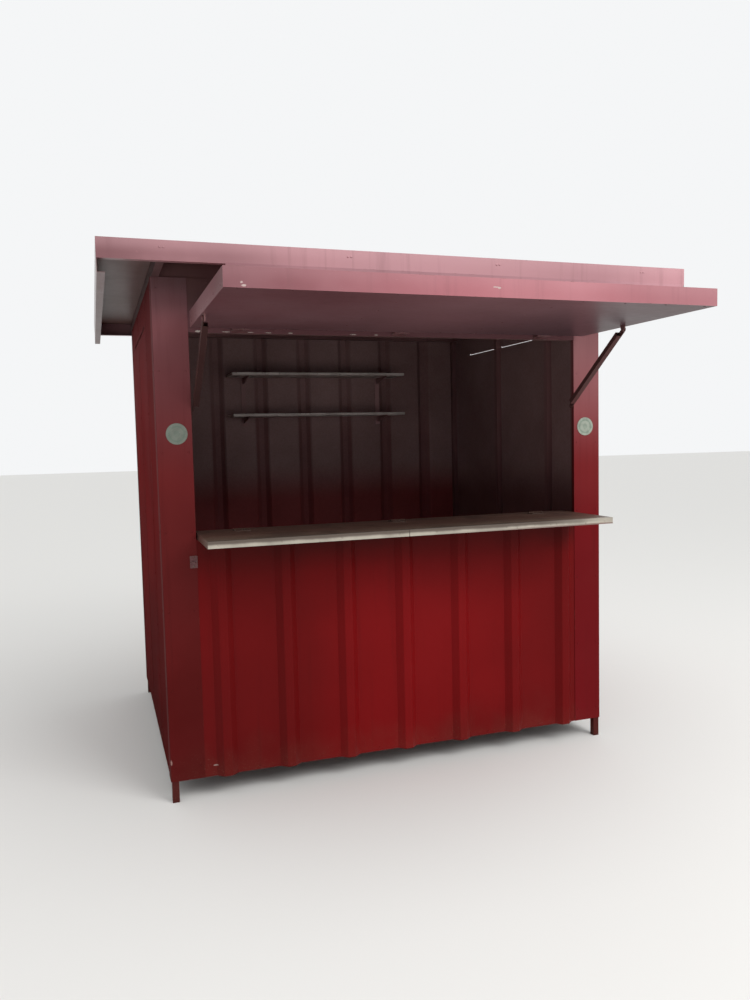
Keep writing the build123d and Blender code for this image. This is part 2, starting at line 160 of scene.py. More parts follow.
class Finish(Wiring):
    """A material with one Principled shader, and the calls that its finish is written in."""

    def __init__(self, name, **constants):
        self.material = bpy.data.materials.new(name)
        self.material.use_nodes = True
        super().__init__(self.material.node_tree)
        self.shader = self.tree.nodes["Principled BSDF"]
        for socket, value in constants.items():
            self.shader.inputs[socket.replace("_", " ")].default_value = value
        self.place = self.node("ShaderNodeTexCoord", {}, {}, "Object")

    def surface(self, name, value):
        self.feed(self.shader.inputs[name], value)

    def axis(self, letter):
        return self.node("ShaderNodeSeparateXYZ", {}, {0: self.place}, letter)

    def facing(self, letter):
        """How far the surface faces along an axis of the piece, from -1 to 1."""
        normal = self.node("ShaderNodeTexCoord", {}, {}, "Normal")
        return self.node("ShaderNodeSeparateXYZ", {}, {0: normal}, letter)

    def noise(self, scale, detail=3.0, stretch=(1, 1, 1), shift=0.0, rough=0.55):
        """Soft noise around 0.5, with scale in features per metre."""
        moved = self.node("ShaderNodeMapping", {}, {"Vector": self.place, "Scale": stretch,
                                                    "Location": (shift, shift, shift)})
        return self.node("ShaderNodeTexNoise", {}, {"Vector": moved, "Scale": scale, "Detail": detail,
                                                    "Roughness": rough})

    def mix(self, amount, below, above):
        """The colour below, with the colour above laid over it by amount."""
        return self.node("ShaderNodeMix", {"data_type": "RGBA", "clamp_factor": True},
                         {0: amount, 6: below, 7: above}, 2)

    def edges(self, radius):
        """1 on sharp outer and inner edges of the piece, 0 on its flats."""
        rounded = self.node("ShaderNodeBevel", {"samples": 4}, {"Radius": radius})
        true = self.node("ShaderNodeNewGeometry", {}, {}, "Normal")
        along = self.node("ShaderNodeVectorMath", {"operation": "DOT_PRODUCT"}, {0: rounded, 1: true},
                          "Value")
        return (1 - along).step(0.02, 0.25)

    def crevice(self, reach):
        """1 deep in corners and under ledges, 0 in the open."""
        open_part = self.node("ShaderNodeAmbientOcclusion", {"samples": 6}, {"Distance": reach}, "AO")
        return (1 - open_part).step(0.15, 0.75)

    def bump(self, height):
        """Relief whose height is in metres."""
        self.surface("Normal", self.node("ShaderNodeBump", {}, {"Distance": 1.0, "Height": height}, "Normal"))

    def mark(self, across, up, at, half):
        """A ragged spot with its middle at and half sizes half, seen along the third axis."""
        ragged = (self.noise(190, 4, rough=0.8) - 0.5) * 4.5
        flat = ((across - at[0]) / half[0]).size()
        high = ((up - at[1]) / half[1]).size()
        return (flat * flat + high * high + ragged).step(1.05, 0.8)


paint_sheen = 0.07
paint_dull = 0.24
undercoat = rgb(72, 48, 45)
primer = rgb(126, 92, 80)


def paint_skin(finish, paint, faded, fading, dirt, runs=0.35, splash=0.0, wear=0.5, shade=0.4,
               inner=None, marks=(), dull=paint_dull, matte=None):
    """Sprayed paint on folded sheet: faded patches, runs of dirt, splashes, worn edges, chips and dents.

    inner is a mask and the colour that shows there, marks are masks of chips and specks with their colours,
    dull is the roughness of clean paint, and matte is a mask of chalky paint."""
    height = finish.axis("Z")
    patches = finish.noise(2.1, 4, shift=3.0)
    cloud = finish.noise(0.9, 3, shift=12.0)
    streaks = finish.noise(1.0, 5, stretch=(34, 34, 1.3), shift=9.0, rough=0.65)
    orange_peel = finish.noise(420, 2, shift=6.0)
    grain = finish.noise(140, 3)
    bleached = (patches.step(0.34, 0.68) * 0.7 + cloud.step(0.35, 0.65) * 0.3) * fading
    colour = finish.mix(bleached, paint, faded)
    colour = finish.mix(cloud.step(0.62, 0.38) * shade, colour, dirt)
    colour = finish.mix(streaks.step(0.52, 0.8) * runs, colour, dirt)
    # dust is a mask from ambient occlusion: the dirt colour laid over with it darkens deep corners and the
    # undersides of ledges, partly as dust and partly as painted shade.
    dust = finish.crevice(0.035)
    colour = finish.mix(dust * 0.4, colour, dirt)
    edge = finish.edges(0.0025)
    chips = (edge * 0.9 + grain - 0.5) * finish.noise(16, 4, shift=5.0).step(0.52, 0.64)
    chips = chips.step(0.32, 0.5) * wear
    scratches = finish.noise(1.0, 3, stretch=(55, 55, 420), shift=15.0).step(0.72, 0.76) * 0.35
    if inner:
        colour = finish.mix(inner[0], colour, finish.mix(patches * 0.6 + grain * 0.3, inner[1], dirt))
    colour = finish.mix(edge * 0.16, colour, faded)
    colour = finish.mix(scratches * wear, colour, faded)
    colour = finish.mix(chips, colour, finish.mix(grain.step(0.45, 0.6), primer, undercoat))
    for mark, shown in marks:
        colour = finish.mix(mark, colour, shown)
        chips = chips.over(mark)
    if splash:
        mud = (height * -1 + 0.24 + (finish.noise(9, 5, shift=2.0) - 0.5) * 0.3).step(0.02, 0.24) * splash
        specks = finish.noise(210, 2, shift=7.0).step(0.63, 0.7) * mud
        colour = finish.mix(mud * 0.35, colour, rgb(92, 62, 52))
        colour = finish.mix(specks * 0.6, colour, rgb(132, 106, 90))
    finish.surface("Base Color", colour)
    rough = patches * 0.14 + streaks * 0.1 + dust * 0.2 + chips * 0.3 + dull
    finish.surface("Roughness", rough + matte * 0.4 if matte else rough)
    dents = finish.noise(3.2, 2, shift=1.0) * 0.003 + finish.noise(11, 2, shift=4.0) * 0.0005
    finish.bump(dents + orange_peel * 0.00002 + grain * 0.00003 - chips * 0.00015)


def spot_masks(finish, marks, colour):
    """Masks and colour of chips and specks on a piece that faces the street: each mark is its middle and half
    sizes.
    """
    across = finish.axis("X")
    up = finish.axis("Z")
    return [(finish.mark(across, up, at, half), colour) for at, half in marks]


def wall_paint(name, letter, sign, face, marks=(), sheen=paint_sheen, dull=paint_dull, top_fade=0.0,
               shadow=0.0):
    """Paint on one of the walls, whose inner face shows undercoat, redder in the hollows of its ribs as
    painted shade.

    The wall faces outwards by sign along the axis letter, and the outer side of its flats lies at face.
    top_fade bleaches its top, and shadow darkens it, most near the ground."""
    finish = Finish(name, Specular_IOR_Level=sheen)
    inside = (finish.facing(letter) * sign).step(0.1, -0.3)
    rib_hollow_shade = ((finish.axis(letter) - face) * sign).step(0.001, 0.006)
    # Painted shade: the paint darkens near the ground, most on the left.
    low = finish.axis("Z").step(0.75, 0.1)
    left = finish.axis("X").step(-0.1, -0.95)
    paint = finish.mix(low * left * 0.45 + low * 0.1, rgb(114, 9, 12), rgb(80, 12, 12))
    if top_fade:
        wavy_height = finish.axis("Z") + (finish.noise(1.6, 3) - 0.5) * 0.6
        paint = finish.mix(wavy_height.step(1.1, 1.9) * top_fade, paint, rgb(118, 82, 84))
    # A painted shadow in a band under the counter, on the front wall.
    if letter == "Y" and sign < 0:
        shadow_under_counter = finish.axis("Z").step(0.80, 0.955) * finish.axis("Z").step(0.99, 0.96)
        paint = finish.mix(shadow_under_counter * 0.95, paint, rgb(48, 12, 9))
    if shadow:
        paint = finish.mix(finish.axis("Z").step(1.5, -0.2) * shadow + 0.2, paint, rgb(44, 10, 9))
    undersides = finish.mix(finish.axis("Z").step(1.22, 0.98), rgb(188, 156, 154),
                            rgb(160, 78, 78) if letter == "Y" else rgb(140, 104, 102))
    # Painted shade in the hollows of the ribs on the inner face, stronger lower down.
    rib_hollow_shade = rib_hollow_shade * (finish.axis("Z").step(1.6, 1.3) * 0.35 + 0.2)
    undersides = finish.mix(rib_hollow_shade, undersides, rgb(140, 80, 82))
    in_light = 0.5 - shadow * 0.4
    paint_skin(finish, paint, rgb(124, 17, 20), in_light, rgb(68, 10, 10), runs=0.22, splash=in_light,
               inner=(inside, undersides), marks=spot_masks(finish, marks, rgb(146, 122, 116)), dull=dull)
    return finish.material


def header_paint(marks):
    """The panel over the opening: dull maroon, with painted shade darkest at its upper left and painted light
    paler to its right, and bright specks along its lower edge.
    """
    finish = Finish("header_paint", Specular_IOR_Level=paint_sheen)
    up = finish.axis("Z")
    inside = finish.facing("Y").step(-0.1, 0.3)
    # Painted shade at the upper left and painted light to the right, over the hinges; one tone below.
    upper_shading = finish.mix(finish.axis("X").step(-0.8, -0.5), rgb(104, 78, 77), rgb(136, 98, 101))
    paint = finish.mix(up.step(1.82, 1.76), upper_shading, rgb(122, 86, 91))
    paint_skin(finish, paint, rgb(118, 74, 78), 0.4, rgb(66, 30, 31), runs=0.25,
               inner=(inside, rgb(112, 78, 76)), marks=spot_masks(finish, marks, rgb(196, 186, 178)))
    return finish.material


def trim_paint(marks):
    """The corner trims, with painted light and shade: paler towards the roof, the left ones to a grey, and
    darker low down on the left, on their side legs and just under the roof on the left.
    """
    finish = Finish("trim_paint", Specular_IOR_Level=0.05)
    up = finish.axis("Z")
    right = finish.axis("X").step(-0.2, 0.5)
    side = finish.facing("X").size().step(0.5, 0.9)
    # Painted light and shade: each trim is lighter higher up, the left one darkest near the ground.
    left_paint = finish.mix(up.step(1.35, 0.25), rgb(108, 38, 38), rgb(78, 9, 9))
    right_paint = finish.mix(up.step(1.15, 0.9), rgb(134, 38, 42), rgb(116, 10, 20))
    paint = finish.mix(right, left_paint, right_paint)
    # A painted highlight towards the roof; on the left a painted grey light, then a painted shadow just under
    # the roof.
    bleached = finish.mix(right, rgb(172, 122, 128), rgb(194, 142, 146))
    paint = finish.mix(up.step(1.15, 1.8) * (right * 0.35 + 0.6), paint, bleached)
    paint = finish.mix(up.step(1.70, 1.87) * (1 - right) * 0.75, paint, rgb(126, 100, 105))
    paint = finish.mix(up.step(1.83, 1.89) * (1 - right) * 0.6, paint, rgb(104, 86, 88))
    # Painted shade on the side legs, which are also matt.
    paint = finish.mix(side * 0.6, paint, rgb(74, 20, 20))
    paint_skin(finish, paint, rgb(128, 40, 43), 0.25, rgb(66, 18, 17), runs=0.3, splash=0.25,
               marks=spot_masks(finish, marks, rgb(142, 112, 106)), matte=side)
    return finish.material


def rim_paint(name, left, middle, right, top, marks=(), top_highlight=0.45):
    """Faded paint of a folded rim, with painted light: its colour runs from its left end to its right end,
    darkest at the left, and a painted highlight makes it palest at its top.
    """
    finish = Finish(name, Coat_Roughness=0.35, Coat_Weight=0.05, Specular_IOR_Level=0.3)
    across = finish.axis("X")
    # Painted light along the rim: dark at its left end, pale in the middle and towards the right.
    paint = finish.mix(across.step(-1.0, 0.0), left, middle)
    paint = finish.mix(across.step(0.0, 0.95), paint, right)
    # A painted highlight along the top of the rim.
    paint = finish.mix(finish.axis("Z").step(top - 0.045, top) * top_highlight, paint, rgb(216, 172, 177))
    inside = (finish.facing("Y") * finish.axis("Y")).step(-0.1, -0.4)
    paint_skin(finish, paint, rgb(204, 150, 156), 0.35, rgb(112, 70, 74), runs=0.3, wear=0.9, shade=0.25,
               inner=(inside * 0.8, rgb(128, 100, 104)), marks=spot_masks(finish, marks, rgb(184, 162, 158)))
    return finish.material


def side_rim():
    """The side fascias: a dusty grey outside as a painted reflection, as a sheet seen edge-on shows, and dark
    maroon inside and on the lip as painted shade.
    """
    finish = Finish("side_rim", Specular_IOR_Level=0.3)
    outwards = finish.facing("X") * finish.axis("X")
    inside = outwards.step(0.5, 0.1)
    # The pale grey is a painted reflection; the dark maroon inside and on the lip is painted shade.
    paint_skin(finish, rgb(160, 148, 148), rgb(180, 173, 172), 0.8, rgb(110, 84, 84), runs=0.4, wear=0.6,
               inner=(inside, rgb(92, 58, 60)))
    return finish.material


def flap_end_paint():
    """The flap's end plates: dusty, duller than its front edge."""
    finish = Finish("flap_end_paint", Specular_IOR_Level=0.3)
    paint_skin(finish, rgb(130, 85, 90), rgb(144, 112, 114), 0.6, rgb(90, 60, 61), runs=0.3, wear=0.8)
    return finish.material


def lining_paint():
    """The flap's underside: pinkish in the middle, darker towards both ends, as painted light and shade."""
    finish = Finish("lining_paint", Coat_Roughness=0.35, Coat_Weight=0.05, Specular_IOR_Level=paint_sheen)
    across = finish.axis("X")
    # Painted light in the middle, painted shade towards the ends.
    paint = finish.mix(across.step(-0.6, 0.0), rgb(104, 62, 67), rgb(146, 104, 110))
    paint = finish.mix(across.step(0.0, 0.7), paint, rgb(88, 67, 75))
    paint_skin(finish, paint, rgb(122, 92, 96), 0.6, rgb(76, 48, 50), runs=0.2, wear=0.8)
    return finish.material


def roof_paint():
    """The roof sheet: weathered above, dull maroon below, with painted shade over the cabin, so that it is
    paler beyond the side walls.
    """
    finish = Finish("roof_paint", Specular_IOR_Level=paint_sheen)
    under = finish.facing("Z").step(0.2, -0.2)
    # Painted shade on the underside, inside the side walls.
    shaded_soffit = finish.mix(finish.axis("X").size().step(1.05, 0.93) * 0.6, rgb(112, 87, 86), rgb(96, 66, 66))
    paint_skin(finish, rgb(128, 66, 66), rgb(158, 116, 112), 0.8, rgb(96, 72, 64), runs=0.2, wear=0.8,
               inner=(under, shaded_soffit))
    return finish.material


def frame_paint(name, paint, faded):
    """Paint on tubes: as given high up, darker below the shelves as painted shade, and red at the feet."""
    finish = Finish(name, Coat_Roughness=0.35, Coat_Weight=0.05, Specular_IOR_Level=paint_sheen)
    low = finish.axis("Z").step(0.4, 0.15)
    # Painted shade below the shelves.
    middle = finish.axis("Z").step(1.3, 1.0) * 0.75
    paint = finish.mix(middle, paint, rgb(88, 50, 50))
    faded = finish.mix(middle, faded, rgb(98, 60, 60))
    paint_skin(finish, finish.mix(low, paint, rgb(78, 16, 16)), finish.mix(low, faded, rgb(92, 30, 30)), 0.5,
               rgb(46, 22, 20), runs=0.3, splash=0.4, wear=0.9)
    return finish.material


def stay_paint():
    """The stays' paint, rubbed on every edge, darker on the left stay as painted shade."""
    finish = Finish("stay_paint", Specular_IOR_Level=paint_sheen)
    # Painted shade: the left stay is darker than the right.
    right = finish.axis("X").step(-0.2, 0.2)
    paint = finish.mix(right, rgb(56, 32, 32), rgb(98, 60, 60))
    faded = finish.mix(right, rgb(74, 52, 50), rgb(112, 78, 76))
    paint_skin(finish, paint, faded, 0.6, rgb(48, 30, 28), runs=0.3, wear=1.0)
    return finish.material


def worn_steel():
    """Small steel parts: rusty, with rests of red paint."""
    finish = Finish("worn_steel")
    patches = finish.noise(38, 5)
    grain = finish.noise(420, 3, shift=2.0)
    rust = (patches + (grain - 0.5) * 0.5).step(0.42, 0.6)
    paint = finish.noise(24, 3, shift=6.0).step(0.5, 0.58)
    edge = finish.edges(0.0012)
    colour = finish.mix(rust, rgb(108, 98, 92), rgb(86, 50, 38))
    colour = finish.mix(paint * (1 - edge), colour, rgb(96, 26, 28))
    finish.surface("Base Color", colour)
    finish.surface("Metallic", (1 - rust) * (1 - paint) * 0.9)
    finish.surface("Roughness", rust * 0.4 + grain * 0.15 + 0.32)
    finish.bump(grain * 0.00006 + rust * 0.00008)
    return finish.material


def hinge_paint(name, paint, faded, sheen=0.3, dull=0.35):
    """Hinges painted over with the rest, worn bright in small spots."""
    finish = Finish(name, Specular_IOR_Level=sheen)
    grain = finish.noise(420, 3, shift=2.0)
    glints = (finish.edges(0.0012) * 0.8 + finish.noise(60, 4, shift=5.0) - 0.5).step(0.42, 0.5)
    colour = finish.mix(finish.noise(30, 4).step(0.35, 0.7), paint, faded)
    colour = finish.mix(glints, colour, rgb(150, 140, 132))
    finish.surface("Base Color", colour)
    finish.surface("Metallic", glints * 0.7)
    finish.surface("Roughness", grain * 0.2 + dull)
    finish.bump(grain * 0.00005 - glints * 0.0001)
    return finish.material


def counter_board():
    """Brown board: long grain with pores, stains and a handled front."""
    finish = Finish("counter_board", Specular_IOR_Level=0.3)
    depth = finish.axis("Y")
    warp = (finish.noise(3.0, 2, stretch=(0.4, 1, 1)) - 0.5) * 0.12
    grain = finish.node("ShaderNodeTexNoise", {}, {
        "Vector": finish.node("ShaderNodeMapping", {}, {"Vector": finish.place, "Scale": (2.2, 70, 70)}),
        "Scale": 1.0, "Detail": 6.0, "Roughness": 0.6, "Distortion": 0.6})
    pores = finish.noise(1.0, 3, stretch=(16, 900, 900), shift=4.0).step(0.6, 0.72)
    stains = finish.noise(5.5, 4, shift=8.0).step(0.48, 0.7)
    handled = (depth + warp).step(-0.50, -0.64)
    colour = finish.mix(grain.step(0.3, 0.7), rgb(68, 46, 38), rgb(94, 68, 58))
    colour = finish.mix(handled * 0.45, colour, rgb(112, 98, 84))
    colour = finish.mix(stains * 0.5, colour, rgb(48, 32, 28))
    colour = finish.mix(pores * 0.6, colour, rgb(38, 25, 21))
    finish.surface("Base Color", colour)
    finish.surface("Roughness", grain * 0.2 + stains * 0.15 + 0.4)
    finish.bump(grain * 0.0003 - pores * 0.0002)
    return finish.material


def edging():
    """Aluminium edging: brushed lengthwise, with painted shade darkening it above and a painted reflection of
    the red wall reddening it below to the right, a joint, and grime that is partly painted shade.
    """
    finish = Finish("edging")
    across = finish.axis("X")
    up = finish.axis("Z")
    front = finish.axis("Y").step(-0.60, -0.64)
    brushed = finish.noise(1.0, 4, stretch=(3, 900, 900))
    dull = finish.noise(9, 4, shift=3.0)
    # Grime and painted shade deep in the crevices.
    grime_and_shade = finish.crevice(0.02)
    nicks = finish.noise(70, 3, shift=1.0).step(0.66, 0.72)
    joint = (across - edging_joint).size().step(0.0014, 0.0009) * front
    wavy = up + (dull - 0.5) * 0.008
    # A painted reflection of the red wall along the lower front, towards the right, and painted shade along
    # the upper front.
    red_reflection = wavy.step(0.972, 0.967) * across.step(-0.1, 0.7) * front
    upper_shading = wavy.step(0.972, 0.981) * across.step(0.85, 0.45) * front
    colour = finish.mix(dull.step(0.35, 0.7), rgb(180, 172, 159), rgb(154, 147, 136))
    colour = finish.mix(upper_shading * 0.95, colour, rgb(90, 78, 70))
    colour = finish.mix(red_reflection * 0.75, colour, rgb(98, 52, 48))
    colour = finish.mix(grime_and_shade * 0.4 + nicks * 0.5, colour, rgb(92, 78, 64))
    colour = finish.mix(joint, colour, rgb(44, 30, 28))
    finish.surface("Base Color", colour)
    finish.surface("Metallic", (1 - nicks.over(joint).over(red_reflection)) * 0.4)
    finish.surface("Roughness", brushed * 0.2 + dull * 0.2 + 0.3)
    finish.bump(brushed * 0.00004 - nicks * 0.0002 - joint * 0.0008)
    return finish.material


def shelf_edge_paint():
    """Pale painted edging of the shelves, dusty and rubbed."""
    finish = Finish("shelf_edging_paint", Specular_IOR_Level=0.3)
    dust = finish.noise(14, 4, shift=2.0)
    grain = finish.noise(300, 3)
    rubs = finish.noise(60, 3, shift=7.0).step(0.6, 0.7)
    colour = finish.mix(dust.step(0.35, 0.7), rgb(214, 203, 198), rgb(182, 170, 165))
    colour = finish.mix(rubs * 0.5, colour, rgb(132, 116, 110))
    finish.surface("Base Color", colour)
    finish.surface("Roughness", dust * 0.2 + rubs * 0.2 + 0.35)
    finish.bump(grain * 0.00003 - rubs * 0.00008)
    return finish.material


def disc_film():
    """Faded film with a darker ring near its rim and a darker middle, and painted shade on the left disc."""
    finish = Finish("disc_film", Coat_Roughness=0.2, Coat_Weight=0.1)
    across = finish.axis("X").size() - disc_line
    up = finish.axis("Z") - disc_height
    out = (across * across + up * up).root()
    ring = out.step(0.022, 0.025) * out.step(0.031, 0.028)
    middle = out.step(0.013, 0.010)
    worn = finish.noise(40, 4)
    scuffs = finish.noise(120, 3, stretch=(1, 1, 4), shift=2.0).step(0.6, 0.72)
    colour = finish.mix(worn.step(0.4, 0.7), rgb(150, 158, 144), rgb(124, 132, 120))
    # Painted shade: the left disc is darker.
    colour = finish.mix(finish.axis("X").step(0.1, -0.1) * 0.7, colour, rgb(104, 110, 100))
    colour = finish.mix((ring * 0.5 + middle * 0.3) * worn.step(0.25, 0.5), colour, rgb(86, 110, 96))
    colour = finish.mix(scuffs * 0.4, colour, rgb(176, 172, 164))
    finish.surface("Base Color", colour)
    finish.surface("Roughness", worn * 0.3 + scuffs * 0.2 + 0.35)
    finish.bump(worn * 0.0001 - scuffs * 0.00005)
    return finish.material


def dress(material, *names):
    """Gives CAD nodes their material."""
    for name in names:
        piece = nodes[name]
        for place in piece.material_slots:
            place.material = material


def turned(shape, profile, place, axis, sides=14):
    """Adds a turned part to a mesh: profile is radius and height along axis, from its rim to its crown."""
    up = Vector(axis).normalized()
    across = up.orthogonal().normalized()
    beside = up.cross(across)
    start = draw.random() * math.tau
    rings = []
    for radius, height in profile:
        centre = Vector(place) + up * height
        if radius == 0:
            rings.append([shape.verts.new(centre)])
            continue
        ring = []
        for k in range(sides):
            turn = start + math.tau * k / sides
            spoke = across * math.cos(turn) + beside * math.sin(turn)
            ring.append(shape.verts.new(centre + spoke * radius))
        rings.append(ring)
    for low, high in zip(rings, rings[1:]):
        for k in range(sides):
            after = (k + 1) % sides
            if len(high) == 1:
                shape.faces.new((low[k], low[after], high[0]))
            else:
                shape.faces.new((low[k], low[after], high[after], high[k]))


def piece_from(shape, name, body, material, smooth=True):
    """Turns a mesh into a named piece that rides on a body."""
    bmesh.ops.recalc_face_normals(shape, faces=shape.faces)
    mesh = bpy.data.meshes.new(name)
    shape.to_mesh(mesh)
    shape.free()
    for face in mesh.polygons:
        face.use_smooth = smooth
    piece = bpy.data.objects.new(name, mesh)
    bpy.context.scene.collection.objects.link(piece)
    mesh.materials.append(material)
    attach(piece, body)
    return piece


# Radius and height of turned heads and rings, in metres, from the rim to the crown
rivet_profile = [(0.0036, 0.0), (0.0036, 0.0005), (0.0030, 0.0011), (0.0016, 0.0015), (0, 0.0016)]
screw_profile = [(0.0042, 0.0), (0.0042, 0.0003), (0.0034, 0.0010), (0.0014, 0.0012), (0.0010, 0.0003),
                 (0, 0.0002)]
washer_profile = [(0.0040, 0.0011), (0.0086, 0.0011), (0.0090, 0.0009), (0.0090, 0.0), (0.0040, 0.0)]


def heads(name, body, material, places, profile=rivet_profile):
    """Rivet or screw heads: places holds the point on the sheet and the way that it faces."""
    shape = bmesh.new()
    for place, axis in places:
        turned(shape, profile, place, axis)
    piece_from(shape, name, body, material)


def weld(shape, start, end, radius=0.0022, ripple=0.0024):
    """Adds a weld bead from start to end: a round bead with a ripple for each dab of metal."""
    start, end = Vector(start), Vector(end)
    along = (end - start).normalized()
    across = along.orthogonal().normalized()
    beside = along.cross(across)
    length = (end - start).length
    count = max(int(length / ripple) * 2, 6)
    sides = 8
    rings = []
    for k in range(count + 1):
        reach = k / count
        swell = radius * (0.82 + 0.18 * (k % 2) + draw.uniform(-0.06, 0.06))
        if k in (0, count):
            swell *= 0.4
        centre = start + along * (length * reach)
        rings.append([shape.verts.new(centre + (across * math.cos(turn) + beside * math.sin(turn)) * swell)
                      for turn in (math.tau * side / sides for side in range(sides))])
    for low, high in zip(rings, rings[1:]):
        for k in range(sides):
            after = (k + 1) % sides
            shape.faces.new((low[k], low[after], high[after], high[k]))
    shape.faces.new(rings[0])
    shape.faces.new(rings[-1])


def welds(name, body, material, runs):
    """A piece of weld beads: runs holds the start and end of each."""
    shape = bmesh.new()
    for start, end in runs:
        weld(shape, start, end)
    piece_from(shape, name, body, material)


def folded_strip(name, body, material, corners, start, end, thick=thin_sheet, bevel=strip_rounding):
    """A strip folded along corners, which are seen along the run from start to end, with rounded edges."""
    shape = bmesh.new()
    start, end = Vector(start), Vector(end)
    rows = []
    for base in (start, end):
        rows.append([shape.verts.new(base + Vector(corner)) for corner in corners])
    faces = []
    for k in range(len(corners) - 1):
        faces.append(shape.faces.new((rows[0][k], rows[0][k + 1], rows[1][k + 1], rows[1][k])))
    bmesh.ops.recalc_face_normals(shape, faces=faces)
    bmesh.ops.solidify(shape, geom=faces, thickness=thick)
    piece = piece_from(shape, name, body, material, smooth=False)
    rounding = piece.modifiers.new("rounding", "BEVEL")
    rounding.width = bevel
    rounding.segments = 2
    rounding.limit_method = "ANGLE"


def steps(start, end, count):
    """Places at even distances, with both ends."""
    return [start + (end - start) * k / (count - 1) for k in range(count)]


def soften(width, *names):
    """Rounds the sharp edges of CAD nodes a little, as rolled and folded metal or handled wood has them."""
    for name in names:
        rounding = nodes[name].modifiers.new("rounding", "BEVEL")
        rounding.width = width
        rounding.segments = 2
        rounding.limit_method = "ANGLE"
        rounding.angle_limit = math.radians(50)


def pans(shift, count):
    """Middles of the flats between the ribs of a ribbed sheet whose middle lies at shift."""
    return [shift + rib_pitch * (k - (count - 1) / 2) for k in range(count)]


def spots(facing, across, along, up):
    """Points on a sheet and the way that each faces: every place in X with every one in Y and in Z."""
    return [((x, y, z), facing) for x in across for y in along for z in up]


def around(places, offsets):
    """Each of the places, moved by each of the offsets."""
    return [place + offset for place in places for offset in offsets]


# Chips in the paint, and bright specks along the header's lower edge: the middle and the half sizes of each
# ragged spot, in metres
front_chips = [((-0.751, 0.121), (0.010, 0.003))]
trim_chips = [((-0.911, 0.154), (0.003, 0.010))]
rim_chips = [((-0.739, 1.736), (0.004, 0.003)), ((-0.733, 1.728), (0.007, 0.003)),
             ((0.009, 1.752), (0.008, 0.002)), ((0.021, 1.750), (0.005, 0.003))]
header_speck_height = 1.714
header_specks = [((x, header_speck_height), half) for x, half in (
    (-0.757, (0.009, 0.004)), (-0.655, (0.015, 0.0016)), (-0.586, (0.009, 0.003)),
    (-0.566, (0.014, 0.0012)), (-0.500, (0.014, 0.0012)), (-0.418, (0.009, 0.002)),
    (-0.174, (0.012, 0.0016)), (-0.082, (0.008, 0.0016)))]

# The finishes of this kiosk
front_red = wall_paint("front_paint", "Y", -1, cabin_front + sheet, marks=front_chips)
header_red = header_paint(header_specks)
back_red = wall_paint("back_paint", "Y", 1, cabin_back - sheet)
side_sheen = 0.005
side_dull = 0.6
left_red = wall_paint("left_paint", "X", -1, -wall_half + sheet, sheen=side_sheen, dull=side_dull,
                      top_fade=0.5, shadow=0.6)
right_red = wall_paint("right_paint", "X", 1, wall_half - sheet, sheen=side_sheen, dull=side_dull,
                       top_fade=0.3)
flap_red = wall_paint("flap_paint", "Z", 1, flap_pan)
trim_red = trim_paint(trim_chips)
fascia_red = rim_paint("fascia_paint", rgb(116, 76, 80), rgb(204, 150, 157), rgb(180, 129, 136), roof_top,
                       top_highlight=0.3)
flap_rim_red = rim_paint("flap_rim_paint", rgb(76, 28, 36), rgb(172, 97, 106), rgb(160, 101, 108),
                         flap_rim_top, marks=rim_chips, top_highlight=0.12)
drip_red = rim_paint("drip_paint", rgb(120, 76, 82), rgb(172, 122, 130), rgb(182, 132, 140), roof_top)
side_red = side_rim()
flap_end_red = flap_end_paint()
maroon = lining_paint()
roof_red = roof_paint()
frame_red = frame_paint("frame_paint", rgb(136, 98, 98), rgb(150, 112, 112))
# The brackets' copy of the tube paint is paler, as painted light on their shaded arms, and the rafters' copy
# darker, as painted shade under the roof.
bracket_red = frame_paint("bracket_paint", rgb(190, 148, 148), rgb(196, 156, 156))
rafter_red = frame_paint("rafter_paint", rgb(86, 61, 61), rgb(98, 76, 77))
stay_red = stay_paint()
steel = worn_steel()
hinge_red = hinge_paint("hinge_paint", rgb(84, 46, 48), rgb(104, 66, 68))
hinge_brown = hinge_paint("counter_hinge_paint", rgb(62, 43, 36), rgb(76, 56, 48), sheen=0.08, dull=0.6)
board = counter_board()
strip = edging()
shelf_strip = shelf_edge_paint()
film = disc_film()

# The CAD nodes in their finishes, with their sharp edges rounded
corners_of_cabin = ("front_left", "front_right", "back_left", "back_right")
red_tubes = [f"post_{corner}" for corner in corners_of_cabin]
red_tubes += ["base_rails_long", "base_rails_short", "top_rails_long", "top_rails_short", "studs",
              "wall_studs", "sill_rail", "header_rail", "flap_bars_long", "flap_bars_short"]
dress(front_red, "front_wall")
dress(header_red, "header_panel")
dress(back_red, "back_wall")
dress(left_red, "left_wall")
dress(right_red, "right_wall")
dress(flap_red, "flap_sheet")
dress(trim_red, *[f"trim_{corner}" for corner in corners_of_cabin])
dress(fascia_red, "fascia_front", "fascia_back")
dress(flap_rim_red, "flap_edge")
dress(side_red, "fascia_left", "fascia_right")
dress(flap_end_red, "flap_ends")
dress(maroon, "flap_lining")
dress(roof_red, "roof_sheet")
dress(frame_red, *red_tubes, "flap_lugs")
dress(rafter_red, "rafters")
dress(bracket_red, "shelf_uprights")
dress(stay_red, "stay_left", "stay_right")
dress(steel, "stay_pegs")
dress(hinge_red, "lock_staple", "header_hinges", "flap_hinges")
dress(hinge_brown, "sill_hinges", "leaf_hinges")
dress(board, "counter_leaf", "sill_board")
dress(shelf_strip, "shelves")
dress(strip, "counter_edge")
dress(film, "discs")
soften(0.0012, *red_tubes, "rafters")
soften(0.0015, "shelves", "sill_board")
soften(0.0006, "stay_left", "stay_right", "lock_staple", "header_hinges", "flap_hinges", "sill_hinges",
       "leaf_hinges", "shelf_uprights", "flap_lugs")

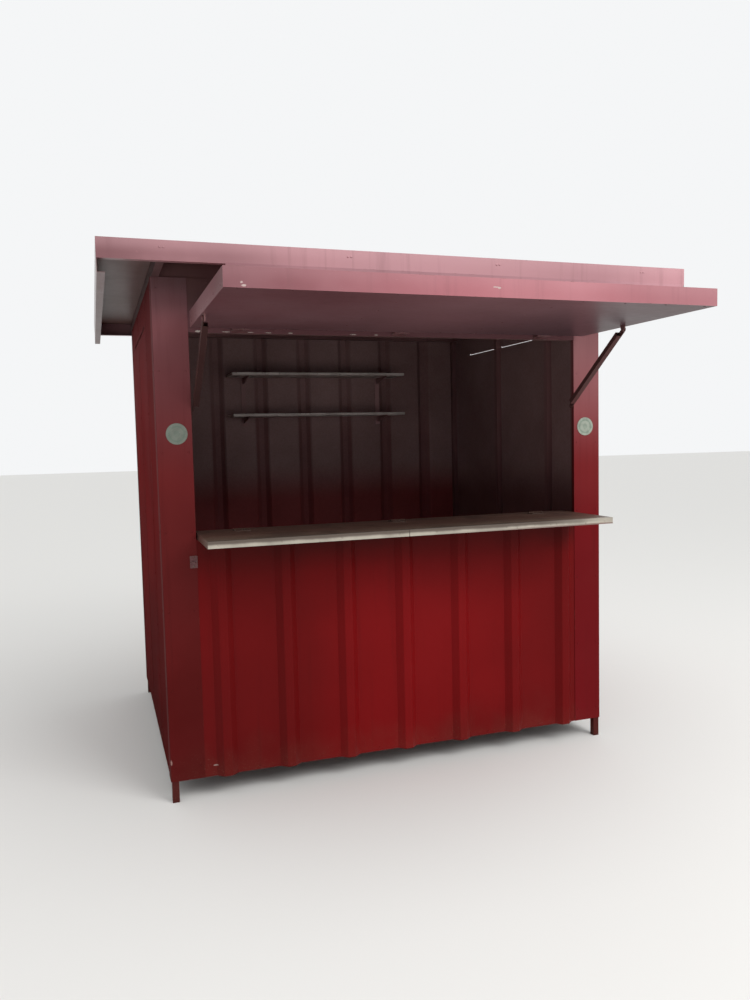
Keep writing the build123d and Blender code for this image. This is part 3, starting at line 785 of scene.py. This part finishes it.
# The ways that a sheet can face, and the two sides of the cabin
to_street = (0, -1, 0)
to_back = (0, 1, 0)
upwards = (0, 0, 1)
downwards = (0, 0, -1)
sides = (("left", -1, left_red), ("right", 1, right_red))

# Rivets that hold the walls and trims to the frame
heads("front_rivets", "cabin", front_red,
      spots(to_street, pans(front_rib_shift, 6), (cabin_front + sheet,), (base_rail_line, sill_rail_line)))
heads("back_rivets", "cabin", back_red,
      spots(to_back, pans(back_rib_shift, 6), (cabin_back - sheet,), (base_rail_line, top_rail_line)))
header_reach = 0.72
hinge_clearance = 0.045
header_spots = spots(to_street, steps(-header_reach, header_reach, 7), (cabin_front + sheet,),
                     (header_line, top_rail_line))
heads("header_rivets", "cabin", header_red,
      [(place, facing) for place, facing in header_spots
       if place[2] == top_rail_line or min(abs(place[0] - x) for x in hinge_places) > hinge_clearance])
side_rivet_inset = 0.11
side_rivet_places = steps(cabin_front + side_rivet_inset, cabin_back - side_rivet_inset, 7)
seam_rivet_heights = steps(0.16, 1.86, 9)
trim_rivet_inset = 0.05
trim_rivet_places = (cabin_front + trim_rivet_inset, cabin_back - trim_rivet_inset)
trim_rivet_heights = steps(0.13, 1.86, 7)
for side, sign, paint in sides:
    outwards = (sign, 0, 0)
    face = sign * (wall_half - sheet)
    heads(f"{side}_rivets", "cabin", paint,
          spots(outwards, (face,), side_rivet_places, (base_rail_line,))
          + spots(outwards, (face + sign * thin_sheet,), wall_stud_lines, seam_rivet_heights))
    heads(f"trim_rivets_{side}", "cabin", trim_red,
          spots(to_street, (sign * post_line, sign * stud_line), (cabin_front,), trim_rivet_heights)
          + spots(outwards, (sign * wall_half,), trim_rivet_places, trim_rivet_heights)
          + spots(to_back, (sign * post_line,), (cabin_back,), trim_rivet_heights))

# Cover strips over the joints of the smooth side walls, on their studs
seam_half = 0.018
seam_foot = 0.082
seam_top = side_wall_top - 0.002
for side, sign, paint in sides:
    face = sign * (wall_half - sheet + thin_sheet)
    for k, y in enumerate(wall_stud_lines):
        folded_strip(f"{side}_seam_{k}", "cabin", paint,
                     [(0, -seam_half, 0), (0, seam_half, 0)], (face, y, seam_foot), (face, y, seam_top),
                     thick=sign * thin_sheet)

# Rivets of the rim and the roof
fascia_rivet_height = 1.932
fascia_rivet_pair = (-0.006, 0.006)
heads("fascia_rivets", "cabin", fascia_red,
      spots(to_street, around(rafter_lines, fascia_rivet_pair), (roof_front,), (fascia_rivet_height,)))
roof_rivet_inset = 0.12
roof_rivet_places = steps(roof_front + roof_rivet_inset, roof_back - roof_rivet_inset, 9)
heads("roof_rivets", "cabin", roof_red,
      spots(upwards, rafter_lines, roof_rivet_places, (roof_top,)))

# Rivets of the flap: its lining, its ribbed sheet and its end plates
flap_bar_lines = (-0.2535, 0.2775)
back_rivet_line = flap_back - 0.0125
lining_rivet_lines = (flap_front + 0.0145, back_rivet_line)
heads("lining_rivets", "flap", maroon,
      spots(downwards, steps(-0.75, 0.774, 11), lining_rivet_lines, (hinge_line,))
      + spots(downwards, flap_bar_lines, steps(-1.05, -0.55, 4), (hinge_line,)))
flap_rivet_lines = (flap_front + 0.040, back_rivet_line)
heads("flap_rivets", "flap", flap_red,
      spots(upwards, pans(flap_middle, 5), flap_rivet_lines, (flap_pan,)))
end_rivet_inset = 0.05
end_rivet_places = steps(flap_front + end_rivet_inset, flap_back - end_rivet_inset, 6)
end_spots = []
for sign in (-1, 1):
    end_spots += spots((sign, 0, 0), (flap_middle + sign * flap_half,), end_rivet_places, (flap_mid_height,))
heads("flap_end_rivets", "flap", flap_end_red, end_spots)

# Lap strips over the two joints of the roof sheet
roof_joints = (-0.42, 0.42)
lap_half = 0.02
lap_inset = 0.03
lap_thick = 0.0009
lap_height = roof_top + lap_thick
for k, x in enumerate(roof_joints):
    folded_strip(f"roof_lap_{k}", "cabin", roof_red, [(-lap_half, 0, 0), (lap_half, 0, 0)],
                 (x, roof_front + lap_inset, lap_height), (x, roof_back - lap_inset, lap_height),
                 thick=lap_thick)

# Angle strips that close the eaves between the rafters, standing on the top rails
rail_top = top_rail_line + tube_half
eave_inset = 0.005
eave_foot = 0.020
eave_lift = 0.0005
eave_rise = 0.0494
rafter_clearance = 0.0135
for end, y, inwards in (("front", cabin_front + eave_inset, 1), ("back", cabin_back - eave_inset, -1)):
    corners = [(0, inwards * eave_foot, eave_lift), (0, 0, eave_lift), (0, 0, eave_rise)]
    for k, (low, high) in enumerate(zip(rafter_lines, rafter_lines[1:])):
        folded_strip(f"eave_strip_{end}_{k}", "cabin", header_red, corners,
                     (low + rafter_clearance, y, rail_top), (high - rafter_clearance, y, rail_top))

# Drip strip along the front fascia's lower edge, over the flap
fascia_foot = min(corner.z for corner in map(Vector, nodes["fascia_front"].bound_box))
drip_left = -0.700
drip_right = 1.090
drip_face = roof_front - 0.0001
drip_top = 0.004
drip_foot = -0.0065
folded_strip("drip_strip", "cabin", drip_red, [(0, 0, drip_top), (0, 0, drip_foot)],
             (drip_left, drip_face, fascia_foot), (drip_right, drip_face, fascia_foot))

# Screws of the hinges, the staple and the counter's edging
header_hinge_face = cabin_front - 0.001
header_screw_places = around(hinge_places, (-0.021, 0, 0.021))
header_screw_heights = (1.752, 1.770)
heads("header_hinge_screws", "cabin", hinge_red,
      spots(to_street, header_screw_places, (header_hinge_face,), header_screw_heights), screw_profile)
counter_screw_places = around([x - flap_middle for x in hinge_places], (-0.02, 0, 0.02))
counter_hinge_face = counter_top + 0.002
leaf_screw_reach = 0.020
for name, body, way in (("sill_hinge_screws", "cabin", 1), ("leaf_hinge_screws", "counter", -1)):
    screw_line = leaf_axis + way * leaf_screw_reach
    heads(name, body, hinge_brown,
          spots(upwards, counter_screw_places, (screw_line,), (counter_hinge_face,)), screw_profile)
flap_hinge_face = flap_back + 0.003
flap_screw_places = around(hinge_places, (-0.024, 0.024))
heads("flap_hinge_screws", "flap", hinge_red,
      spots(to_back, flap_screw_places, (flap_hinge_face,), (flap_mid_height,)), screw_profile)
staple_line = -0.803
staple_face = cabin_front - 0.0025
staple_screw_heights = (0.870, 0.902)
heads("staple_screws", "cabin", steel,
      spots(to_street, (staple_line,), (staple_face,), staple_screw_heights), screw_profile)
edging_middle = 0.977
edging_screw_reach = 0.75
heads("edging_screws", "counter", strip,
      spots(to_street, steps(-edging_screw_reach, edging_screw_reach, 8), (leaf_front,), (edging_middle,)),
      screw_profile)

# Washers on the pins of the stays
heads("stay_washers", "flap", steel,
      [((sign * stay_outer, *stay_head), (sign, 0, 0)) for sign in (-1, 1)], washer_profile)

# Folded strips that close the open sides of the stays, so that they look like square tube
stay_start = Vector((0, *stay_head))
stay_run = Vector((0, *stay_foot)) - stay_start
stay_along = stay_run.normalized()
stay_up = Vector((0, -stay_along.z, stay_along.y))
stay_plate = 0.003
cover_width = 0.0165
cover_drop = 0.0167
cover_rise = 0.0098
cover_clearance = stay_along * 0.026
for side, sign in (("left", -1), ("right", 1)):
    inner_edge = Vector((-sign * cover_width, 0, 0))
    base = Vector((sign * (stay_outer - stay_plate), 0, 0)) + stay_start + stay_up * cover_rise
    folded_strip(f"stay_cover_{side}", f"stay_{side}", stay_red,
                 [(0, 0, 0), inner_edge, inner_edge - stay_up * cover_drop],
                 base + cover_clearance, base + stay_run - cover_clearance, thick=0.0012, bevel=0.0005)

# Rain lips over the air slots of the side walls
slot_line = 1.781
slot_runs = ((0.0755, 0.492), (0.532, 0.8675))
lip_top = 0.012
lip_bend = 0.005
lip_out = 0.003
lip_fold = 0.0035
lip_foot = -0.0005
for side, sign, paint in sides:
    face = sign * (wall_half - sheet + thin_sheet)
    out = sign * lip_out
    corners = [(0, 0, lip_top), (0, 0, lip_bend), (out, 0, lip_fold), (out, 0, lip_foot)]
    for k, (low, high) in enumerate(slot_runs):
        folded_strip(f"{side}_slot_lip_{k}", "cabin", paint, corners, (face, low, slot_line),
                     (face, high, slot_line), thick=sign * thin_sheet)

# Edging of the two shelves
shelf_front = 0.8775
shelf_left = -0.435
shelf_right = 0.512
shelf_tops = (("low", 1.462), ("high", 1.676))
edging_above = 0.0010
edging_below = -0.0128
edging_out = -0.0012
edging_top_width = 0.012
edging_foot_width = 0.004
edging_corners = [(0, edging_top_width, edging_above), (0, edging_out, edging_above),
                  (0, edging_out, edging_below), (0, edging_foot_width, edging_below)]
for level, top in shelf_tops:
    folded_strip(f"shelf_edging_{level}", "cabin", shelf_strip, edging_corners,
                 (shelf_left, shelf_front, top), (shelf_right, shelf_front, top), thick=0.001)

# Weld beads of the frame: at the feet of the posts, under the rafters and at the ends of the studs
frame_inset = 0.004
frame_inside = frame_inset + 2 * tube_half
side_bead_start = 0.002
side_bead_end = 0.023
bead_half = 0.010
post_bead_height = 0.080
rafter_bead_height = 1.900
stud_bead_heights = (0.105, 1.875)


def bead(x, y, z):
    """Start and end of a bead that runs across, with its middle at a place."""
    return (x - bead_half, y, z), (x + bead_half, y, z)


frame_runs = []
for x in (-post_line, post_line):
    inner = x - math.copysign(tube_half, x)
    for y, inside in ((cabin_front + frame_inset, 1), (cabin_back - frame_inset, -1)):
        frame_runs.append(((inner, y + inside * side_bead_start, post_bead_height),
                           (inner, y + inside * side_bead_end, post_bead_height)))
        frame_runs.append(bead(x, y + inside * 2 * tube_half, post_bead_height))
for x in rafter_lines:
    for y in (cabin_front + frame_inside, cabin_back - frame_inside):
        frame_runs.append(bead(x, y, rafter_bead_height))
for x in (-stud_line, stud_line):
    for z in stud_bead_heights:
        frame_runs.append(bead(x, cabin_front + frame_inside, z))
welds("frame_welds", "cabin", frame_red, frame_runs)

# Weld beads of the flap's lugs, on both faces of each
lug_faces = (0.7761, 0.7822)
lug_bead_half = 0.011
lug_bead_height = hinge_line - 0.0005
lug_runs = []
for sign in (-1, 1):
    for x in lug_faces:
        lug_runs.append(((sign * x, stay_head[0] - lug_bead_half, lug_bead_height),
                         (sign * x, stay_head[0] + lug_bead_half, lug_bead_height)))
welds("lug_welds", "flap", frame_red, lug_runs)


# Camera where the photograph was taken from, with its focal length in pixels of a picture this high
photo_height = 1000
photo_focal = 816.24
sensor = 36.0
camera_place = (-1.1287, -3.3680, 1.3132)
right = Vector((0.94519, -0.32573, -0.02271))
up = Vector((0.04539, 0.06219, 0.99703))
back = Vector((-0.32335, -0.94341, 0.07357))
lens = bpy.data.cameras.new("camera")
lens.sensor_width = sensor
lens.lens = photo_focal * sensor / photo_height
camera = bpy.data.objects.new("camera", lens)
view_turn = Matrix((right, up, back)).transposed().to_4x4()
camera.matrix_world = Matrix.Translation(camera_place) @ view_turn
bpy.context.scene.collection.objects.link(camera)
bpy.context.scene.camera = camera
bpy.context.scene.view_settings.view_transform = "Standard"

# Studio floor, pale and matt
floor_finish = Finish("studio_floor", Roughness=0.9)
floor_finish.surface("Base Color", rgb(224, 223, 220))
floor_shape = bmesh.new()
bmesh.ops.create_grid(floor_shape, x_segments=1, y_segments=1, size=40)
floor_mesh = bpy.data.meshes.new("studio_floor")
floor_shape.to_mesh(floor_mesh)
floor_shape.free()
floor = bpy.data.objects.new("studio_floor", floor_mesh)
floor_mesh.materials.append(floor_finish.material)
bpy.context.scene.collection.objects.link(floor)

# Even sky, brighter where it is seen or mirrored than where it lights the kiosk
sky_lighting = 0.60
sky_seen = 0.93
sky_colour = (0.98, 0.99, 1.0, 1.0)
world = bpy.data.worlds.new("studio")
world.use_nodes = True
bpy.context.scene.world = world
sky = Wiring(world.node_tree)
camera_ray = sky.node("ShaderNodeLightPath", {}, {}, "Is Camera Ray")
clear_ray = sky.node("ShaderNodeLightPath", {}, {}, "Is Transmission Ray")
mirrored_ray = sky.node("ShaderNodeLightPath", {}, {}, "Is Glossy Ray")
seen = camera_ray.over(clear_ray).over(mirrored_ray)
level = sky.node("ShaderNodeMapRange", {}, {"Value": seen, "To Min": sky_lighting, "To Max": sky_seen})
background = world.node_tree.nodes["Background"]
sky.feed(background.inputs["Strength"], level)
sky.feed(background.inputs["Color"], sky_colour)
kiosk_middle = Vector((0, 0, 1.0))


def hang(name, kind, place, power):
    """Hangs a lamp at a place, aimed at the middle of the kiosk."""
    lamp = bpy.data.lights.new(name, kind)
    lamp.energy = power
    stand = bpy.data.objects.new(name, lamp)
    aim = kiosk_middle - Vector(place)
    stand.matrix_world = Matrix.Translation(place) @ aim.to_track_quat("-Z", "Y").to_matrix().to_4x4()
    bpy.context.scene.collection.objects.link(stand)
    return lamp


# One large soft lamp in front on the right, and a wide sun above
key_lamp = hang("key_lamp", "AREA", place=(2.4, -4.9, 4.6), power=190.0)
key_lamp.shape = "SQUARE"
key_lamp.size = 3.5
top_lamp = hang("top_lamp", "SUN", place=(0.5, -2.4, 6.0), power=1.3)
top_lamp.angle = math.radians(70)
